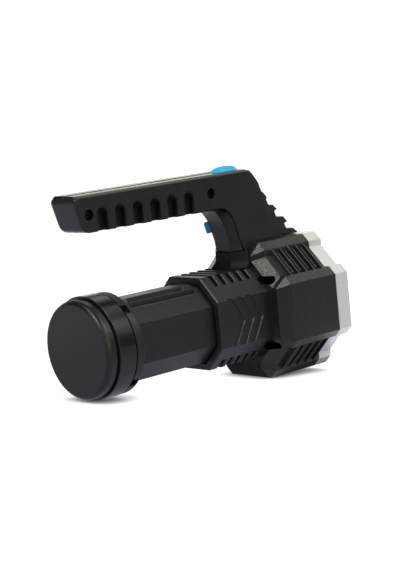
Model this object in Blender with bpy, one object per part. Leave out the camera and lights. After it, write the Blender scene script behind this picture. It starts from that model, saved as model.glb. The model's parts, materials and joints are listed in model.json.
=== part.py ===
# Hand searchlight with a cantilevered grip. Metres, +Z up, beam along +X,
# the side seen in the photo is -Y. The lamp rests nose-up on its tail band and
# on the rear edge of the head's bottom lobe, so every piece hangs from one
# tilted empty. All lengths in this source are millimetres, scaled by MM.
import math

import bmesh
import bpy
from mathutils import Matrix, Vector

MM = 0.001

# ---- driving dimensions (mm) ------------------------------------------------
TAIL_R = 27.2           # tail cap rim radius
BAND_R = 28.65          # raised band of the tail cap
TAIL_GROOVE_X = (6.5, 7.2)
TAIL_LEN = 18.6         # tail cap length
FLANGE = (19.1, 24.0)   # tube flange along X
FLANGE_R = 28.35
TUBE_HALF = 21.8        # octagonal tube, half across flats
TUBE_FLAT = 11.0        # half length of one octagon side
TUBE_END = 81.4
BORE_R = 18.6           # battery bore
SPIGOT_R = 20.1
COLLAR = (81.7, 121.2)  # ribbed collar along X
COLLAR_HALF = 26.5
COLLAR_FLAT = 13.2
SLOT_X = (89.9, 96.2, 102.5, 108.8, 115.1)
SLOT_W = 3.7
SLOT_DEPTH = 3.8
CHEV_W = 3.5             # width of a recessed chevron band
HEAD_X = (121.5, 127.2, 164.2)   # rear plane, end of slope, front face
LOBE_R = 40.0           # half across two opposite lobes
LOBE_A = 16.55          # half width of a lobe's outer flat
LOBE_W = 20.9           # half width of a lobe
LOBE_C = 35.67          # lobe height where its chamfer ends
LOBE_Q = 31.88          # height where lobe wall meets the 45 degree recess
FIN_X = (132.3, 138.7, 145.2, 151.7, 158.2)
FIN_T = 1.1
CAVITY_R = 33.5
CAVITY_X = 132.0
BEZEL_X = (164.5, 175.4)
GRIP_HW0, GRIP_HW1 = 10.6, 0.005  # half width of the grip = HW0 + HW1 * x
GRIP_TOP = 81.4
GRIP_BOTTOM = 62.4
NOTCH_X0, NOTCH_PITCH, NOTCH_W, NOTCH_N = 16.2, 12.44, 6.9, 6
TOP_LIFT = (1.6, 1.4, 0.63, 1.0)  # rise of the grip's top face: middle, flat's edge, chamfer
DECK, DECK_Z = 5.0, 23.2          # half width and height of the tube's flat top
PITCH = math.atan2(LOBE_R - BAND_R, HEAD_X[1] - TAIL_GROOVE_X[1] - 0.3)  # nose-up rest

for ob in list(bpy.data.objects):
    bpy.data.objects.remove(ob, do_unlink=True)

ROOT = bpy.data.objects.new("rest_tilt", None)
bpy.context.scene.collection.objects.link(ROOT)


# ---- materials ---------------------------------------------------------------
def material(name, rgb, rough, metal=0.0, alpha=1.0):
    m = bpy.data.materials.new(name)
    m.use_nodes = True
    b = m.node_tree.nodes["Principled BSDF"]
    b.inputs["Base Color"].default_value = (*rgb, 1.0)
    b.inputs["Roughness"].default_value = rough
    b.inputs["Metallic"].default_value = metal
    b.inputs["Alpha"].default_value = alpha
    m.diffuse_color = (*rgb, alpha)
    return m


PALETTE = {
    "black": ((0.022, 0.022, 0.023), 0.5, 0.0, 1.0),
    "black_tail": ((0.026, 0.025, 0.028), 0.5, 0.0, 1.0),
    "silver": ((0.62, 0.62, 0.61), 0.4, 0.0, 1.0),
    "blue": ((0.012, 0.32, 0.80), 0.35, 0.0, 1.0),
    "clear": ((0.9, 0.95, 0.98), 0.05, 0.0, 0.35),
    "mirror": ((0.85, 0.85, 0.87), 0.08, 1.0, 1.0),
    "board": ((0.82, 0.82, 0.80), 0.5, 0.0, 1.0),
    "board_green": ((0.03, 0.18, 0.07), 0.5, 0.0, 1.0),
    "phosphor": ((0.90, 0.78, 0.18), 0.4, 0.0, 1.0),
    "alu": ((0.66, 0.67, 0.68), 0.35, 1.0, 1.0),
    "steel": ((0.35, 0.35, 0.36), 0.35, 1.0, 1.0),
    "brass": ((0.75, 0.58, 0.25), 0.3, 1.0, 1.0),
    "rubber": ((0.02, 0.02, 0.02), 0.75, 0.0, 1.0),
    "cell": ((0.10, 0.28, 0.16), 0.4, 0.0, 1.0),
}


# ---- mesh helpers --------------------------------------------------------------
def new_object(name, verts, faces, mat):
    """One closed mesh from millimetre vertices; doubles merged, normals outward."""
    me = bpy.data.meshes.new(name)
    me.from_pydata([Vector(v) * MM for v in verts], [], faces)
    bm = bmesh.new()
    bm.from_mesh(me)
    bmesh.ops.remove_doubles(bm, verts=bm.verts, dist=1e-6)
    bmesh.ops.dissolve_degenerate(bm, edges=bm.edges, dist=1e-7)
    bmesh.ops.recalc_face_normals(bm, faces=bm.faces)
    bm.to_mesh(me)
    bm.free()
    ob = bpy.data.objects.new(name, me)
    bpy.context.scene.collection.objects.link(ob)
    if mat:
        me.materials.append(material(name + "_mat", *PALETTE[mat]))
    return ob


def loft(name, rings, mat, cap=True):
    """Rings of equal length joined by quads; equal rings' edges drop out."""
    n = len(rings[0])
    verts, faces = [], []
    for ring in rings:
        verts.extend(ring)
    for k in range(len(rings) - 1):
        a, b = k * n, (k + 1) * n
        for i in range(n):
            j = (i + 1) % n
            same_i = (Vector(rings[k][i]) - Vector(rings[k + 1][i])).length < 1e-6
            same_j = (Vector(rings[k][j]) - Vector(rings[k + 1][j])).length < 1e-6
            if same_i and same_j:
                continue
            if same_i:
                faces.append((a + i, a + j, b + j))
            elif same_j:
                faces.append((a + i, a + j, b + i))
            else:
                faces.append((a + i, a + j, b + j, b + i))
    if cap:
        faces.append(tuple(range(n)))
        last = (len(rings) - 1) * n
        faces.append(tuple(last + i for i in range(n)))
    return new_object(name, verts, faces, mat)


def yz_ring(pts, x):
    return [(x, y, z) for y, z in pts]


def prism_x(name, pts, x0, x1, mat):
    return loft(name, [yz_ring(pts, x0), yz_ring(pts, x1)], mat)


def prism_y(name, pts, y0, y1, mat):
    return loft(name, [[(x, y0, z) for x, z in pts], [(x, y1, z) for x, z in pts]], mat)


def revolve(name, profile, seg, mat, centre=(0.0, 0.0), smooth=True):
    """Closed profile of (x, r) turned about an X-parallel axis at centre (y, z)."""
    cy, cz = centre
    verts, faces, index = [], [], []
    for x, r in profile:
        if r < 1e-6:
            index.append([len(verts)] * seg)
            verts.append((x, cy, cz))
        else:
            index.append(list(range(len(verts), len(verts) + seg)))
            for i in range(seg):
                t = 2 * math.pi * i / seg
                verts.append((x, cy + r * math.cos(t), cz + r * math.sin(t)))
    n = len(profile)
    for k in range(n):
        m = (k + 1) % n
        if profile[k][1] < 1e-6 and profile[m][1] < 1e-6:
            continue
        for i in range(seg):
            j = (i + 1) % seg
            q = [index[k][i], index[k][j], index[m][j], index[m][i]]
            q = [v for p, v in enumerate(q) if v != q[p - 1]]
            if len(q) >= 3:
                faces.append(tuple(q))
    ob = new_object(name, verts, faces, mat)
    if smooth:
        shade(ob)
    return ob


def shade(ob, angle=32.0):
    me = ob.data
    me.shade_smooth()
    me.set_sharp_from_angle(angle=math.radians(angle))


def box(name, lo, hi, mat):
    pts = [(lo[1], lo[2]), (hi[1], lo[2]), (hi[1], hi[2]), (lo[1], hi[2])]
    return prism_x(name, pts, lo[0], hi[0], mat)


def boolean(ob, cutter, op="DIFFERENCE"):
    """Apply one exact boolean and remove the tool object."""
    m = ob.modifiers.new("cut", "BOOLEAN")
    m.operation = op
    m.solver = "EXACT"
    m.object = cutter
    bpy.context.view_layer.update()
    dg = bpy.context.evaluated_depsgraph_get()
    me = bpy.data.meshes.new_from_object(ob.evaluated_get(dg))
    ob.modifiers.clear()
    old = ob.data
    mats = [mt for mt in old.materials if mt]
    ob.data = me
    me.materials.clear()
    for mt in mats[:1]:
        me.materials.append(mt)
    for p in me.polygons:
        p.material_index = 0
    bpy.data.meshes.remove(old)
    cut_mesh = cutter.data
    bpy.data.objects.remove(cutter, do_unlink=True)
    bpy.data.meshes.remove(cut_mesh)
    bm = bmesh.new()
    bm.from_mesh(me)
    bmesh.ops.remove_doubles(bm, verts=bm.verts, dist=2e-6)
    bmesh.ops.dissolve_degenerate(bm, edges=bm.edges, dist=1e-6)
    bmesh.ops.recalc_face_normals(bm, faces=bm.faces)
    bm.to_mesh(me)
    bm.free()
    return ob


def stadium(cx, cz, half, r, n=6):
    """Slot outline in a plane: centre line of length 2*half, end radius r."""
    pts = []
    for i in range(n + 1):
        t = -math.pi / 2 + math.pi * i / n
        pts.append((cx + half + r * math.cos(t), cz + r * math.sin(t)))
    for i in range(n + 1):
        t = math.pi / 2 + math.pi * i / n
        pts.append((cx - half + r * math.cos(t), cz + r * math.sin(t)))
    return pts


def ellipse(a, b, n, cx=0.0, cy=0.0):
    return [(cx + a * math.cos(2 * math.pi * i / n), cy + b * math.sin(2 * math.pi * i / n))
            for i in range(n)]


def octagon(half, flat):
    return [(-half, -flat), (-half, flat), (-flat, half), (flat, half),
            (half, flat), (half, -flat), (flat, -half), (-flat, -half)]


def lobed(r, a, w, c, q, fin=False):
    """Four-lobed outline, 24 points, counter-clockwise from the +Y lobe."""
    d = (c - w) * 0.3
    one = [(c - d, -w - d) if fin else (q, -w), (c, -w), (r, -a), (r, a), (c, w),
           (c - d, w + d) if fin else (q, w)]
    pts = []
    for k in range(4):
        ca, sa = (1, 0, -1, 0)[k], (0, 1, 0, -1)[k]
        for u, v in one:
            pts.append((u * ca - v * sa, u * sa + v * ca))
    return pts


# ---- head housing: ribbed collar and four-lobed head ----------------------------
REAR = lobed(33.14, 14.3, 14.6, 32.84, 29.9)
FULL = lobed(LOBE_R, LOBE_A, LOBE_W, LOBE_C, LOBE_Q)
FINS = lobed(LOBE_R, LOBE_A, LOBE_W, LOBE_C, LOBE_Q, fin=True)
rings = [yz_ring(REAR, HEAD_X[0]), yz_ring(FULL, HEAD_X[1])]
for fx in FIN_X:
    rings += [yz_ring(FULL, fx), yz_ring(FINS, fx), yz_ring(FINS, fx + FIN_T),
              yz_ring(FULL, fx + FIN_T)]
rings.append(yz_ring(FULL, HEAD_X[2]))
head = loft("head_housing", rings, "black")
collar_out = octagon(COLLAR_HALF, COLLAR_FLAT)
collar_in = octagon(COLLAR_HALF - 1.2, COLLAR_FLAT - 0.5)
collar = loft("ribbed_collar", [yz_ring(collar_in, COLLAR[0]),
                                yz_ring(collar_out, COLLAR[0] + 1.2),
                                yz_ring(collar_out, COLLAR[1])], "black")
s = COLLAR_HALF + COLLAR_FLAT
d = SLOT_DEPTH
slot_pts = [(-22.8, 25.3), (-18.6, 21.1), (-18.6 + d * 0.7071, 21.1 - d * 0.7071),
            (-(s - d * 1.4142 - (COLLAR_HALF - d)), COLLAR_HALF - d),
            (s - d * 1.4142 - (COLLAR_HALF - d), COLLAR_HALF - d),
            (18.6 - d * 0.7071, 21.1 - d * 0.7071), (18.6, 21.1), (22.8, 25.3), (12.0, 32.0),
            (-12.0, 32.0)]
for sx in SLOT_X:
    for sign in (1, -1):
        pts = [(y, z * sign) for y, z in slot_pts]
        boolean(collar, prism_x("slot_tool", pts, sx - SLOT_W / 2, sx + SLOT_W / 2, None))
# three recessed forward-pointing chevron bands on each side flat
for side in (-1, 1):
    for k in range(3):
        ax = 101.2 + 7.22 * k
        pts = [(ax - 8.95, 14.1), (ax, 0.0), (ax - 7.75, -13.6), (ax - 7.75 - CHEV_W, -13.6),
               (ax - CHEV_W, 0.0), (ax - 8.95 - CHEV_W, 14.1)]
        boolean(collar, prism_y("chevron_tool", pts, side * (COLLAR_HALF - 0.55),
                                side * (COLLAR_HALF + 1.0), None))
# stepped bore: spigot seat, wire passage, lamp chamber
boolean(collar, revolve("bore_tool", [(80.0, 0), (80.0, 20.4), (92.9, 20.4), (92.9, 17.0),
                                      (125.0, 17.0), (125.0, 0)], 40, None, smooth=False))
boolean(head, revolve("bore_tool", [(118.0, 0), (118.0, 17.0), (CAVITY_X, 17.0),
                                    (CAVITY_X, CAVITY_R), (170.0, CAVITY_R), (170.0, 0)], 40, None,
                      smooth=False))
# four slotted screw pockets behind the head, each with a through hole
SCREWS = [(-21.9, 19.0), (-21.9, -19.0), (21.9, 19.0), (21.9, -19.0)]
for sy, sz in SCREWS:
    side = -1 if sy < 0 else 1
    pocket = stadium(side * 24.35, sz, 3.15, 2.3)
    boolean(head, prism_x("pocket_tool", pocket, 112.0, 130.0, None))
    boolean(collar, prism_x("pocket_tool", pocket, 120.0, 130.0, None))
    boolean(head, revolve("hole_tool", [(129.0, 0), (129.0, 1.45), (134.0, 1.45), (134.0, 0)],
                          12, None, centre=(sy, sz), smooth=False))
# wire hole from the top lobe into the chamber
wire = revolve("wire_tool", [(0, 0), (0, 2.5), (12.0, 2.5), (12.0, 0)], 16, None, smooth=False)
wire.data.transform(Matrix.Translation((0.1375, 0, 0.031)) @ Matrix.Rotation(-math.pi / 2, 4, "Y"))
boolean(head, wire)
shade(head, 25)
shade(collar, 25)

# ---- front bezel, lens and light engine -------------------------------------------
bezel = loft("front_bezel", [yz_ring(FULL, BEZEL_X[0]), yz_ring(FULL, BEZEL_X[1] - 1.0),
                             yz_ring(lobed(LOBE_R - 0.8, LOBE_A - 0.3, LOBE_W - 0.5, LOBE_C - 0.8,
                                           LOBE_Q - 0.8), BEZEL_X[1])], "silver")
sleeve = revolve("sleeve_tool", [(158.0, 0), (158.0, 33.2), (168.0, 33.2), (168.0, 0)], 48, None,
                 smooth=False)
boolean(bezel, sleeve, "UNION")
boolean(bezel, revolve("seat_tool", [(150.0, 0), (150.0, 31.5), (171.7, 31.5), (171.7, 29.6),
                                     (172.6, 29.6), (176.5, 33.2), (176.5, 0)], 48, None,
                       smooth=False))
shade(bezel, 25)
lens = revolve("lens", [(169.1, 0), (169.1, 31.0), (169.4, 31.2), (171.1, 31.2), (171.4, 31.0),
                        (171.4, 0)], 40, "clear")
gasket = revolve("lens_gasket", [(168.0, 30.0), (168.0, 31.2), (168.8, 31.2), (168.8, 30.0)], 32,
                 "rubber")
reflector = revolve("reflector", [(142.3, 0), (142.3, 27.0), (146.0, 31.0), (167.7, 31.0),
                                  (167.7, 0)], 48, "mirror")
CUPS = [(0.0, 0.0, 8.6), (0.0, 20.0, 9.2), (0.0, -20.0, 9.2), (20.0, 0.0, 9.2), (-20.0, 0.0, 9.2)]
for cy, cz, cr in CUPS:
    prof = [(141.0, 0), (141.0, 3.6), (143.0, 3.6)]
    for i in range(1, 5):
        t = i / 4
        prof.append((143.0 + (167.7 - 143.0) * t, 3.6 + (cr - 3.6) * math.sqrt(t)))
    prof += [(169.0, cr + 0.02), (169.0, 0)]
    boolean(reflector, revolve("cup_tool", prof, 20, None, centre=(cy, cz), smooth=False))
shade(reflector, 30)
led_board = revolve("led_board", [(138.4, 0), (138.4, 30.5), (140.0, 30.5), (140.0, 0)], 40, "board")
EMIT = ["emitter_centre", "emitter_top", "emitter_bottom", "emitter_left", "emitter_right"]
for nm, (cy, cz, cr) in zip(EMIT, CUPS):
    box(nm, (140.2, cy - 2.5, cz - 2.5), (141.9, cy + 2.5, cz + 2.5), "phosphor")
heat_sink = revolve("heat_sink", [(132.3, 0), (132.3, 33.1), (138.1, 33.1), (138.1, 0)], 48, "alu")
for sy, sz in SCREWS:
    boolean(heat_sink, revolve("hole_tool", [(131.0, 0), (131.0, 1.45), (137.4, 1.45), (137.4, 0)],
                               12, None, centre=(sy, sz), smooth=False))
boolean(heat_sink, revolve("hole_tool", [(131.0, 0), (131.0, 4.0), (139.0, 4.0), (139.0, 0)], 16,
                           None, smooth=False))
shade(heat_sink, 30)
for k, (sy, sz) in enumerate(SCREWS):
    sc = revolve("head_screw_%d" % (k + 1),
                 [(127.8, 0.0), (127.8, 1.55), (128.2, 2.0), (129.7, 2.0), (129.7, 1.2),
                  (136.6, 1.2), (137.1, 0.7), (137.1, 0.0)], 12, "steel", centre=(sy, sz))
    cross = box("cross_tool", (127.0, sy - 1.1, sz - 0.25), (128.6, sy + 1.1, sz + 0.25), None)
    boolean(sc, cross)
    cross = box("cross_tool", (127.0, sy - 0.25, sz - 1.1), (128.6, sy + 0.25, sz + 1.1), None)
    boolean(sc, cross)
    shade(sc, 40)
driver = revolve("driver_board", [(98.0, 0), (98.0, 16.5), (99.6, 16.5), (99.6, 0)], 32,
                 "board_green")

# ---- battery tube -------------------------------------------------------------------
H, F = TUBE_HALF, TUBE_FLAT


def tube_top(y):
    """Height of the plain tube's upper outline at |y|: facet, shoulder, flat deck."""
    y = abs(y)
    if y <= DECK:
        return DECK_Z
    if y <= F:
        return DECK_Z + (H - DECK_Z) * (y - DECK) / (F - DECK)
    return H + F - y


rail = [(-14.6, 18.2), (-14.2, 18.9), (-13.5, 19.3), (-13.1, 18.3), (-12.5, 18.3),
        (-12.2, 21.2), (-11.9, 21.5), (-11.3, 21.5), (-10.9, 20.3), (-6.2, 20.3),
        (-5.5, 22.9), (-DECK, DECK_Z)]
rail_full = rail + [(-y, z) for y, z in reversed(rail)]
rail_flat = [(y, tube_top(y)) for y, z in rail_full]
base_l = [(-F, -H), (-H, -F), (-H, F)]
base_r = [(H, F), (H, -F), (F, -H)]
TUBE_RAIL = base_l + rail_full + base_r
TUBE_PLAIN = base_l + rail_flat + base_r


def groove_end(pts, x, slant, dx=0.0):
    """Ring whose upper points lean along X, where the grooves start or stop."""
    return [(x + dx + (slant * max(0.0, 11.6 - abs(y)) if z > 15.0 else 0.0), y, z)
            for y, z in pts]


def round_like(pts, r):
    out = []
    for y, z in pts:
        k = r / math.hypot(y, z)
        out.append((y * k, z * k))
    return out


# plain octagon first (few points), flange and spigots joined on
tube = loft("battery_tube", [yz_ring(TUBE_PLAIN, 24.0), groove_end(TUBE_PLAIN, 29.8, 0.7),
                             groove_end(TUBE_RAIL, 29.8, 0.7, 0.6),
                             groove_end(TUBE_RAIL, 76.0, -0.45),
                             groove_end(TUBE_PLAIN, 76.0, -0.45, 2.2),
                             yz_ring(TUBE_PLAIN, TUBE_END)], "black")
boolean(tube, revolve("flange_tool", [(9.0, 0), (9.0, 19.6), (9.5, SPIGOT_R),
                                      (FLANGE[0], SPIGOT_R), (FLANGE[0], FLANGE_R - 0.5),
                                      (FLANGE[0] + 0.5, FLANGE_R), (FLANGE[1] - 0.4, FLANGE_R),
                                      (FLANGE[1] + 0.1, FLANGE_R - 0.4), (26.3, 25.2),
                                      (28.0, 22.5), (30.0, 19.0), (30.0, 0)], 48, None,
                      smooth=False), "UNION")
boolean(tube, revolve("spigot_tool", [(78.0, 0), (78.0, 20.1), (92.4, 20.1), (92.4, 0)], 48, None,
                      smooth=False), "UNION")
for ang in (46.0, -45.0, 134.0, -135.0):
    t = math.radians(ang)
    notch = box("notch_tool", (18.5, -2.4, 24.6), (22.9, 2.4, 31.0), None)
    # box sits on +Z, turn it about X to the wanted place on the flange
    notch.data.transform(Matrix.Rotation(math.atan2(-math.cos(t), math.sin(t)) * -1.0, 4, "X"))
    boolean(tube, notch)
# seal groove and thread grooves on the rear spigot
boolean(tube, revolve("groove_tool", [(15.7, 18.95), (15.7, 22.0), (18.0, 22.0), (18.0, 18.95)], 48,
                      None, smooth=False))
for gx in (11.3, 13.9):
    boolean(tube, revolve("thread_tool", [(gx - 0.7, 20.6), (gx, 19.4), (gx + 0.7, 20.6)], 48, None,
                          smooth=False))
boolean(tube, revolve("bore_tool", [(5.0, 0), (5.0, BORE_R), (95.0, BORE_R), (95.0, 0)], 48, None,
                      smooth=False))
shade(tube, 25)

# ---- tail cap -------------------------------------------------------------------------
G0, G1 = TAIL_GROOVE_X
cap = revolve("tail_cap", [(0.0, 0.0), (0.0, 24.9), (0.2, 25.5), (0.8, 26.3), (1.6, 26.9),
                           (2.6, TAIL_R), (G0 - 0.3, TAIL_R), (G0, TAIL_R - 0.3), (G0, TAIL_R - 1.3),
                           (G1, TAIL_R - 1.3), (G1, BAND_R - 0.4), (G1 + 0.35, BAND_R),
                           (TAIL_LEN - 0.35, BAND_R), (TAIL_LEN, BAND_R - 0.35),
                           (TAIL_LEN, 20.5), (4.4, 20.5), (4.4, 0.0)], 64, "black_tail")
oring = revolve("tail_seal_ring", [(16.0, 19.05), (16.0, 20.1), (16.4, 20.4), (17.3, 20.4),
                                   (17.7, 20.1), (17.7, 19.05)], 32, "rubber")
plate = revolve("tail_contact_plate", [(4.7, 0.0), (4.7, 18.0), (5.7, 18.0), (5.7, 0.0)], 32, "brass")


def coil(name, x0, x1, r0, r1, turns, wire_r, mat, steps=12, sides=6):
    verts, faces = [], []
    n = int(turns * steps)
    for i in range(n + 1):
        t = i / n
        a = 2 * math.pi * turns * t
        r = r0 + (r1 - r0) * t
        x = x0 + (x1 - x0) * t
        c = Vector((x, r * math.cos(a), r * math.sin(a)))
        rad = Vector((0, math.cos(a), math.sin(a)))
        tan = Vector(((x1 - x0) / n, -r * math.sin(a) * 2 * math.pi * turns / n,
                      r * math.cos(a) * 2 * math.pi * turns / n)).normalized()
        up = tan.cross(rad).normalized()
        for s_ in range(sides):
            b = 2 * math.pi * s_ / sides
            verts.append(c + rad * (wire_r * math.cos(b)) + up * (wire_r * math.sin(b)))
    for i in range(n):
        for s_ in range(sides):
            q = (s_ + 1) % sides
            faces.append((i * sides + s_, i * sides + q, (i + 1) * sides + q, (i + 1) * sides + s_))
    faces.append(tuple(range(sides)))
    faces.append(tuple(n * sides + s_ for s_ in range(sides)))
    ob = new_object(name, verts, faces, mat)
    shade(ob, 60)
    return ob


coil("tail_contact_spring", 6.5, 14.1, 8.0, 4.0, 3.5, 0.45, "steel", steps=10, sides=5)

# ---- battery: two cylindrical cells in a cradle ----------------------------------------
CELL_R, CELL_Y = 9.05, 9.3
for nm, cy in (("cell_right", -CELL_Y), ("cell_left", CELL_Y)):
    revolve(nm, [(17.2, 0), (17.2, 8.2), (17.8, CELL_R), (80.6, CELL_R), (81.3, 8.4), (81.3, 3.0),
                 (82.1, 3.0), (82.1, 0)], 24, "cell", centre=(cy, 0.0))
cradle = revolve("cell_cradle", [(14.9, 0), (14.9, 18.2), (16.8, 18.2), (16.8, 0)], 32, "black",
                 smooth=False)
boolean(cradle, revolve("end_tool", [(82.5, 0), (82.5, 18.2), (84.2, 18.2), (84.2, 0)], 32, None,
                        smooth=False), "UNION")
boolean(cradle, box("web_tool", (16.0, -1.4, 5.6), (83.0, 1.4, 16.5), None), "UNION")
boolean(cradle, box("web_tool", (16.0, -1.4, -16.5), (83.0, 1.4, -5.6), None), "UNION")
front_contact = revolve("front_contact_board", [(84.6, 0), (84.6, 17.8), (86.2, 17.8), (86.2, 0)],
                        32, "board_green")


# ---- cantilevered grip: two half shells ---------------------------------------------------
def offset_poly(pts, dist):
    """Move every edge of a clockwise or counter-clockwise polygon inwards."""
    n = len(pts)
    area = sum(pts[i][0] * pts[(i + 1) % n][1] - pts[(i + 1) % n][0] * pts[i][1] for i in range(n))
    sgn = 1.0 if area > 0 else -1.0
    out = []
    for i in range(n):
        p0, p1, p2 = (Vector(pts[i - 1]), Vector(pts[i]), Vector(pts[(i + 1) % n]))
        e1, e2 = (p1 - p0).normalized(), (p2 - p1).normalized()
        n1, n2 = Vector((-e1.y, e1.x)) * sgn, Vector((-e2.y, e2.x)) * sgn
        b = n1 + n2
        b = b / max(b.length_squared, 0.3) * 2.0
        out.append((p1.x + b.x * dist, p1.y + b.y * dist))
    return out


SHELL = [(7.8, GRIP_BOTTOM), (60.0, GRIP_BOTTOM), (102.0, GRIP_BOTTOM), (106.8, 62.05),
         (109.9, 60.9), (112.4, 58.9), (114.3, 56.4), (115.6, 53.3), (116.5, 50.0), (118.6, 42.7),
         (120.6, 37.6), (122.3, 34.6), (127.1, 40.3), (151.3, 40.3), (141.0, 60.4), (130.9, 80.0),
         (129.6, GRIP_TOP), (60.0, GRIP_TOP), (3.6, GRIP_TOP), (2.4, 81.0), (1.7, 78.9),
         (4.1, 70.6), (6.5, 63.4)]
CH = 1.2


def half_width(x):
    return GRIP_HW0 + GRIP_HW1 * x


def crowned(z, lift, z0=None):
    """Lift the grip's top face; the lift fades out down the round ends."""
    w = max(0.0, min(1.0, ((z if z0 is None else z0) - (GRIP_TOP - 2.2)) / 2.2))
    return z + lift * w


BX = 120.2               # main button centre
WELL = ellipse(10.6, 5.55, 32, BX, 0.0)
for nm, side in (("handle_right", -1), ("handle_left", 1)):
    inner = offset_poly(SHELL, CH)
    sh = loft(nm, [[(x, side * 0.15, crowned(z, TOP_LIFT[0])) for x, z in SHELL],
                   [(x, side * (half_width(x) - 2.3), crowned(z, TOP_LIFT[1])) for x, z in SHELL],
                   [(x, side * (half_width(x) - CH), crowned(z, TOP_LIFT[2])) for x, z in SHELL],
                   [(x, side * half_width(x), crowned(z, TOP_LIFT[3], z0))
                    for (x, z), (_, z0) in zip(inner, SHELL)]], "black")
    # finger notches with a sloping arched roof, open at the bottom edge
    for k in range(NOTCH_N):
        x0 = NOTCH_X0 + NOTCH_PITCH * k
        x1 = x0 + NOTCH_W
        xm, hw = (x0 + x1) / 2, half_width(x0)

        def notch_ring(y, top, spring):
            ring = [(x0, y, 58.0), (x1, y, 58.0)]
            for i in range(9):
                t = math.pi * i / 8
                ring.append((xm + (x1 - xm) * math.cos(t), y, spring + (top - spring) * math.sin(t)))
            return ring
        boolean(sh, loft("notch_tool", [notch_ring(side * (hw + 1.0), 75.1, 71.9),
                                        notch_ring(side * (hw - 3.6), 72.3, 71.9),
                                        notch_ring(side * 1.7, 72.3, 71.9)], None))
    # button well and switch chamber, half in each shell
    boolean(sh, loft("well_tool", [[(x, y, 70.0) for x, y in WELL], [(x, y, 86.0) for x, y in WELL]],
                     None))
    hollow = [(106.5, 66.5), (111.5, 63.8), (115.5, 59.5), (118.2, 53.5), (121.5, 44.5),
              (125.0, 43.0), (134.0, 43.0), (134.0, 38.0), (141.0, 38.0), (141.0, 50.0),
              (128.0, 73.0), (106.5, 73.0)]
    boolean(sh, prism_y("hollow_tool", hollow, -7.6, 7.6, None))
    for hx, hz in ((10.6, 72.0), (98.8, 72.2)):
        hw = half_width(hx)
        if side < 0:
            tool = revolve("hole_tool", [(0, 0), (0, 1.4), (20, 1.4), (20, 3.0), (30, 3.0), (30, 0)],
                           20, None, smooth=False)
            tool.data.transform(Matrix.Translation((hx * MM, (-hw + 4.2 + 20.0) * MM, hz * MM))
                                @ Matrix.Rotation(-math.pi / 2, 4, "Z"))
        else:
            tool = revolve("hole_tool", [(0, 0), (0, 1.4), (6.4, 1.4), (6.4, 0)], 12, None,
                           smooth=False)
            tool.data.transform(Matrix.Translation((hx * MM, -0.4 * MM, hz * MM))
                                @ Matrix.Rotation(math.pi / 2, 4, "Z"))
        boolean(sh, tool)
    shade(sh, 25)
for nm, hx, hz in (("handle_screw_rear", 10.6, 72.0), ("handle_screw_front", 98.8, 72.2)):
    hw = half_width(hx)
    sc = revolve(nm, [(0.0, 0.0), (0.0, 2.0), (0.5, 2.6), (1.7, 2.6), (1.7, 1.2), (10.2, 1.2),
                      (10.7, 0.6), (10.7, 0.0)], 12, "steel")
    boolean(sc, box("cross_tool", (-0.5, -1.4, -0.3), (0.9, 1.4, 0.3), None))
    boolean(sc, box("cross_tool", (-0.5, -0.3, -1.4), (0.9, 0.3, 1.4), None))
    sc.data.transform(Matrix.Translation((hx * MM, (-hw + 2.3) * MM, hz * MM))
                      @ Matrix.Rotation(math.pi / 2, 4, "Z"))
    shade(sc, 40)

# ---- strut: rear liner, plinth and toothed front spine ---------------------------------------
FACE = [(103.6, 61.8), (105.9, 60.1), (108.4, 57.0), (110.2, 54.0), (111.4, 50.9), (112.4, 47.1),
        (113.6, 43.4), (114.2, 39.8), (114.4, 36.4)]
EDGE = [(105.4, 61.8), (109.1, 60.75), (112.1, 58.6), (114.1, 55.6), (115.5, 51.9), (116.4, 47.9),
        (117.9, 43.4), (119.2, 39.8), (120.3, 36.4)]
liner = loft("handle_liner", [[(fx, -6.25, fz), (ex, -9.9, ez), (ex, 9.9, ez), (fx, 6.25, fz)]
                              for (fx, fz), (ex, ez) in zip(FACE, EDGE)], "black")
plinth = loft("strut_plinth",
              [[(xr, -h, z), (xr + (w - h), -w, z), (121.2, -w, z), (121.2, w, z),
                (xr + (w - h), w, z), (xr, h, z)]
               for xr, h, w, z in ((110.4, 9.0, 14.2, 26.6), (111.2, 8.4, 14.1, 27.8),
                                   (112.8, 7.0, 14.0, 29.6), (113.5, 6.4, 13.9, 31.5),
                                   (113.6, 6.3, 13.8, 36.1))], "black")
SPINE = [(151.75, 40.35), (141.45, 60.5), (131.35, 80.3), (130.95, 81.5), (132.0, 81.9),
         (132.9, 81.4), (134.9, 79.2), (137.1, 76.5), (139.0, 73.8), (139.9, 71.2), (140.9, 68.5),
         (142.9, 66.9), (145.0, 64.4), (144.2, 63.1), (145.8, 59.8), (149.2, 59.4), (152.4, 56.4),
         (150.0, 55.5), (151.4, 51.9), (156.9, 51.5), (160.1, 48.1), (157.4, 47.2), (158.9, 43.9),
         (164.3, 43.6), (168.5, 40.5), (164.2, 40.35)]
spine_in = offset_poly(SPINE, 0.5)
spine = loft("strut_spine", [[(x, -9.3, z) for x, z in spine_in], [(x, -8.8, z) for x, z in SPINE],
                             [(x, 8.8, z) for x, z in SPINE], [(x, 9.3, z) for x, z in spine_in]],
             "black")

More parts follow.
